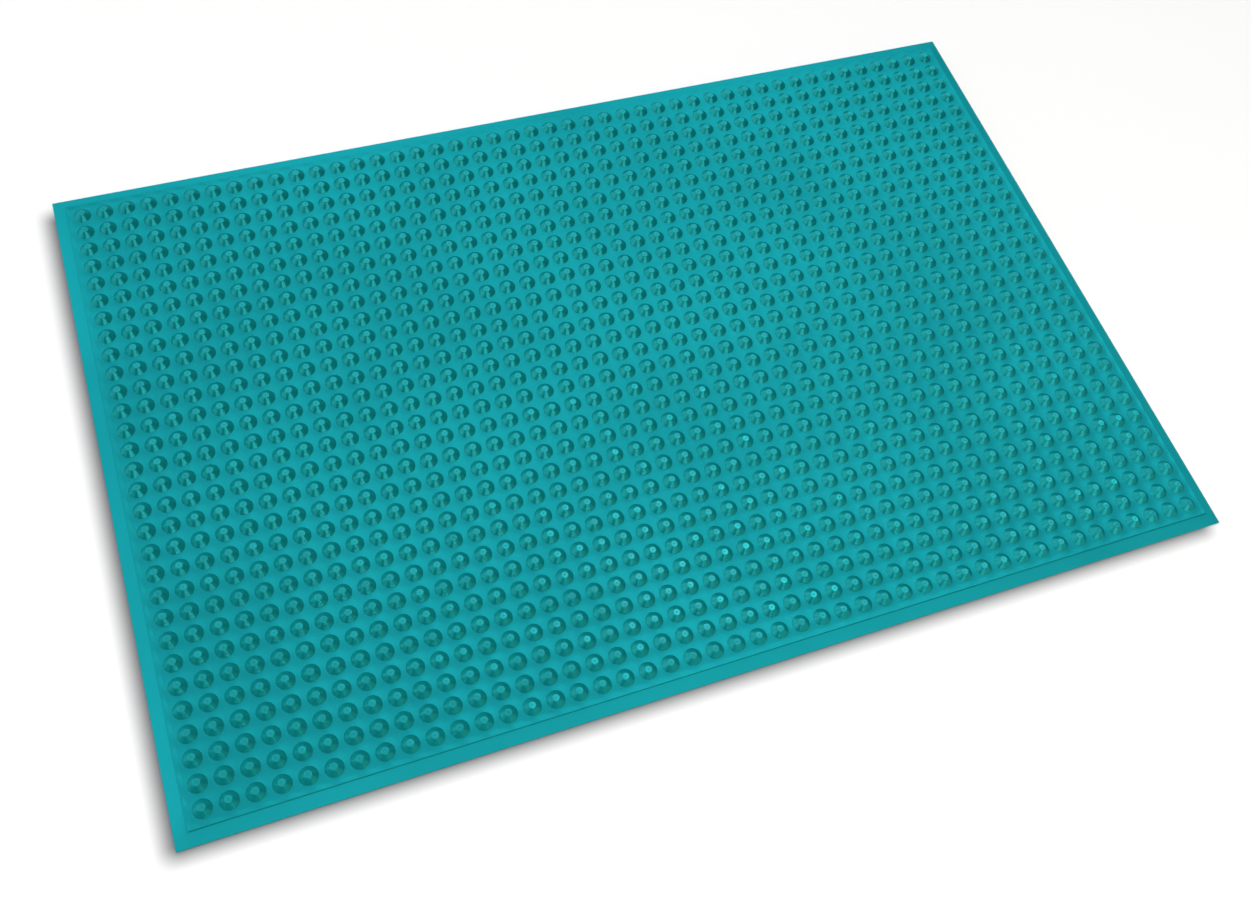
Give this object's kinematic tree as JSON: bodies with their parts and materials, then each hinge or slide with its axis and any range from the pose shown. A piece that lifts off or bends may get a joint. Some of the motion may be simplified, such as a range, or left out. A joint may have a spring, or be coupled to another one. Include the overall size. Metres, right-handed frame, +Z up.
{
  "type": "cleanroom anti-fatigue mat",
  "caption": "Rectangular one-piece cushioning floor mat with a raised-bump standing surface and a bevelled border on all four sides, for lying flat on a cleanroom floor.",
  "frame": {"origin": "centre of the underside, on the floor", "axes": "+Z up through the mat's thickness, +X along its long side, +Y along its short side, away from the viewer"},
  "size_m": [0.902, 0.598, 0.0095],
  "materials": {
    "moulded_polyurethane": "smooth satin teal moulded polyurethane"
  },
  "bodies": {
    "root": {"mat": "moulded_polyurethane"}
  },
  "joints": []
}
